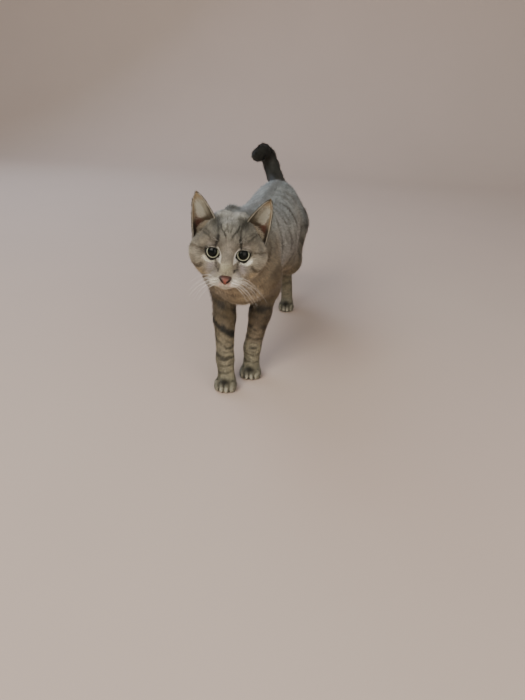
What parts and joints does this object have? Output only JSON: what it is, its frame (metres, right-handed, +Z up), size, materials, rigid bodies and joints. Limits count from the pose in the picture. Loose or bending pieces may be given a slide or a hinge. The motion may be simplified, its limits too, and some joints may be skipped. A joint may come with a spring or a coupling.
{
  "type": "cat",
  "caption": "Life-size grey tabby house cat in mid-walk, head level and turned a little, tail raised and hooked over at the tip.",
  "frame": {"origin": "on the floor, under the middle of the cat's box", "axes": "+Z up, -Y the way the cat walks, +X its left side"},
  "size_m": [0.1316, 0.5577, 0.2961],
  "materials": {
    "coat": "short plush grey-brown tabby fur with darker bars",
    "tail_coat": "short dense fur, dark grey to black towards the tip",
    "ear": "thin short fur behind, bare pinkish skin and pale hairs inside",
    "eye": "wet clear cornea over a pale green ring and a wide black pupil",
    "nose_leather": "finely pebbled brick-pink skin, slightly moist",
    "paw": "very short pale fur on the toes, leathery pads below"
  },
  "bodies": {
    "root": {"head": "coat", "neck": "coat", "trunk": "coat", "tail": "tail_coat", "ear_left": "ear", "ear_right": "ear", "eye_left": "eye", "eye_right": "eye", "nose": "nose_leather", "foreleg_left": "coat", "foreleg_right": "coat", "front_paw_left": "paw", "front_paw_right": "paw", "hindleg_left": "coat", "hindleg_right": "coat", "hind_paw_left": "paw", "hind_paw_right": "paw"}
  },
  "joints": []
}
